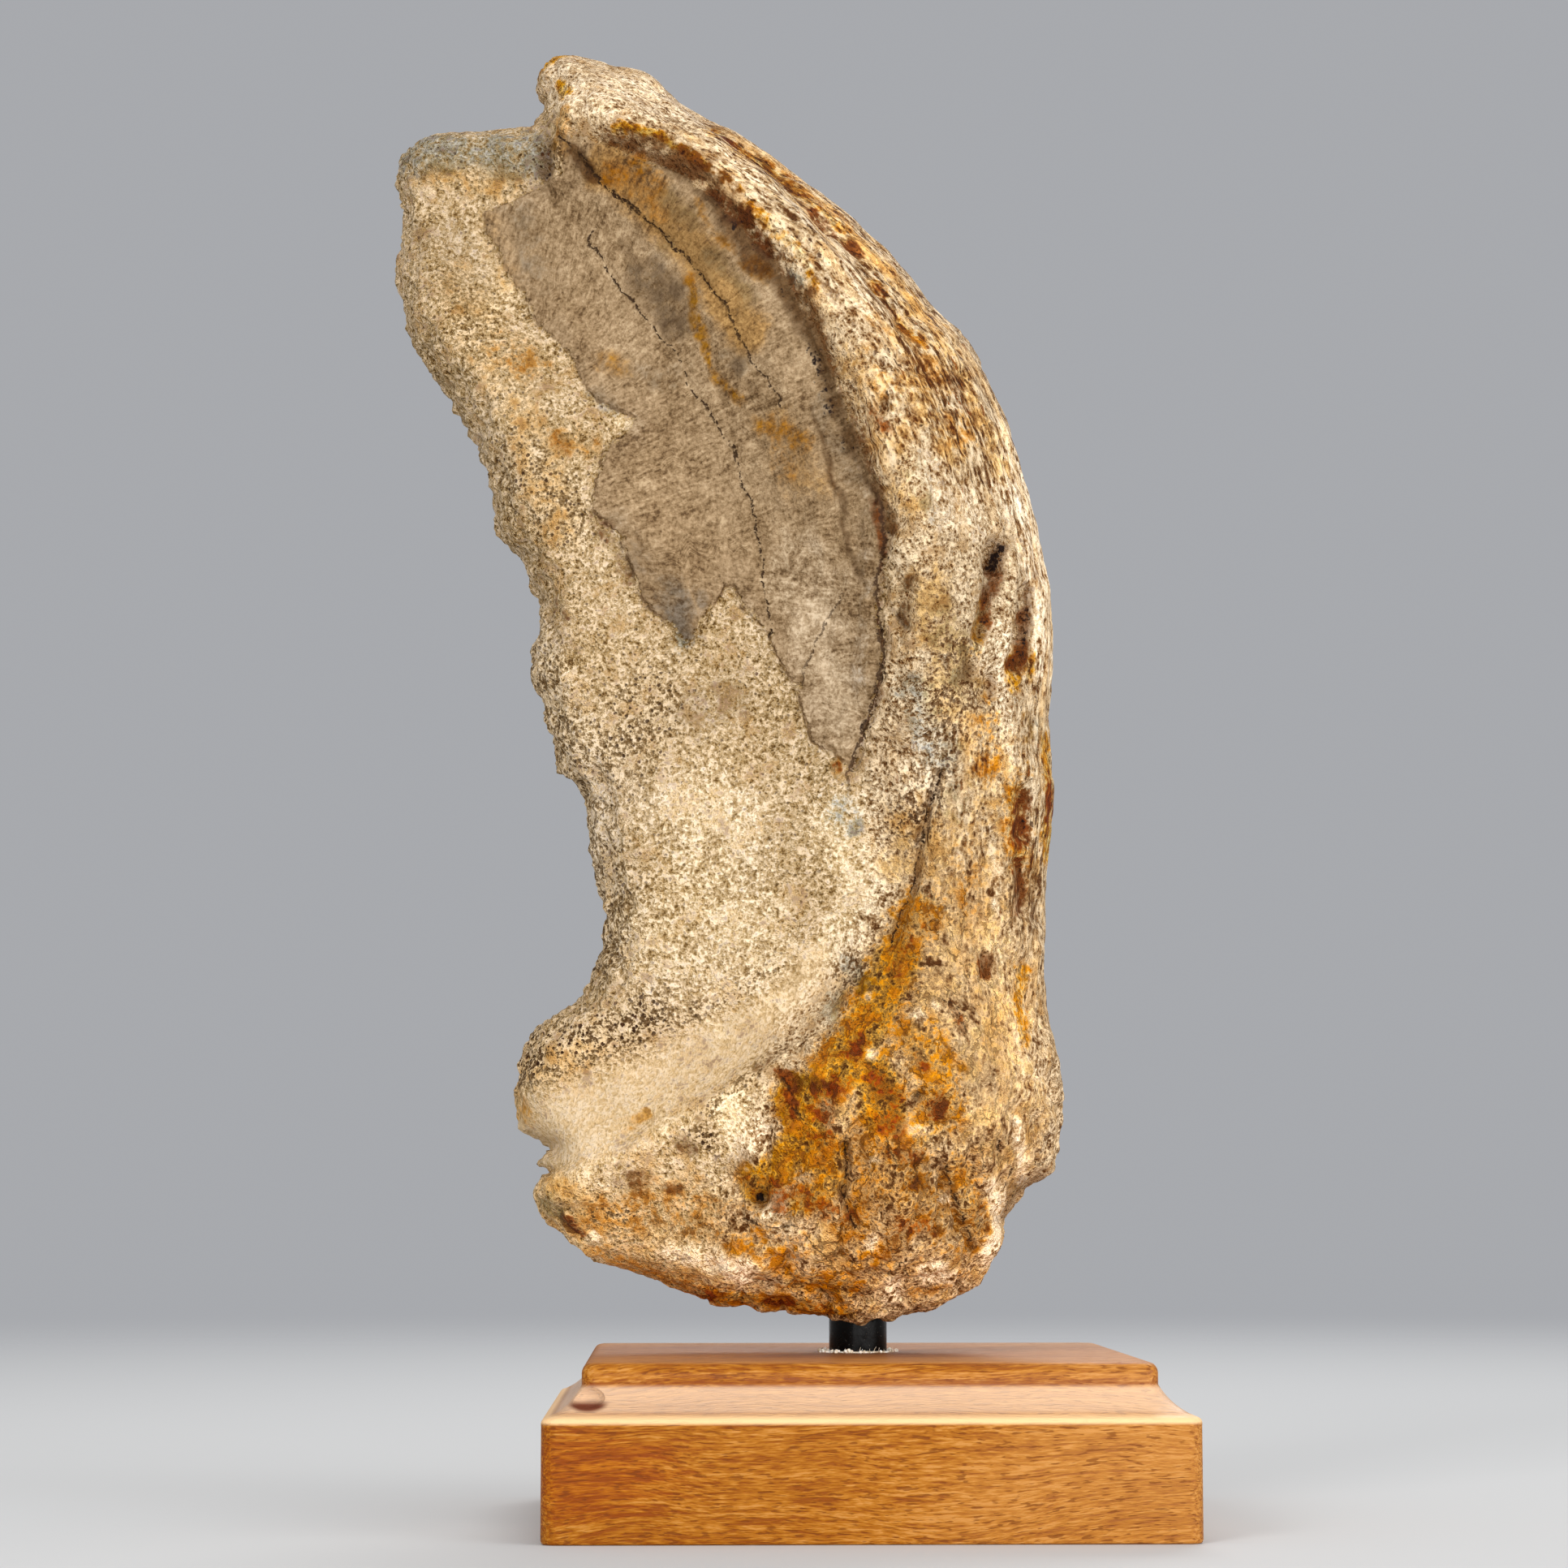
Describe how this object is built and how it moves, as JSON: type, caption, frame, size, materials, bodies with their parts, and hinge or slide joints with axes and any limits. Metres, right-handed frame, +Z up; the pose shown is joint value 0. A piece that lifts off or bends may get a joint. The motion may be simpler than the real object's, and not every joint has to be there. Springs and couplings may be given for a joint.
{
  "type": "fossil mammoth vertebra on a stand",
  "caption": "Broken fossil neck vertebra of a mammoth with its smooth curved joint face, upright on a short black post in a moulded wooden plinth.",
  "frame": {"origin": "centre of the plinth's flat underside", "axes": "+Z up along the post, -Y towards the viewer of the smooth joint face, +X towards the bone's thick side"},
  "size_m": [0.1345, 0.106, 0.2594],
  "materials": {
    "fossil_bone": "matte porous bone, cream to ochre, with a smooth grey-brown joint face",
    "black_post": "satin black",
    "varnished_wood": "satin to gloss varnish on orange-brown wood"
  },
  "bodies": {
    "root": {"bone": "fossil_bone", "post": "black_post", "plinth": "varnished_wood"}
  },
  "joints": []
}
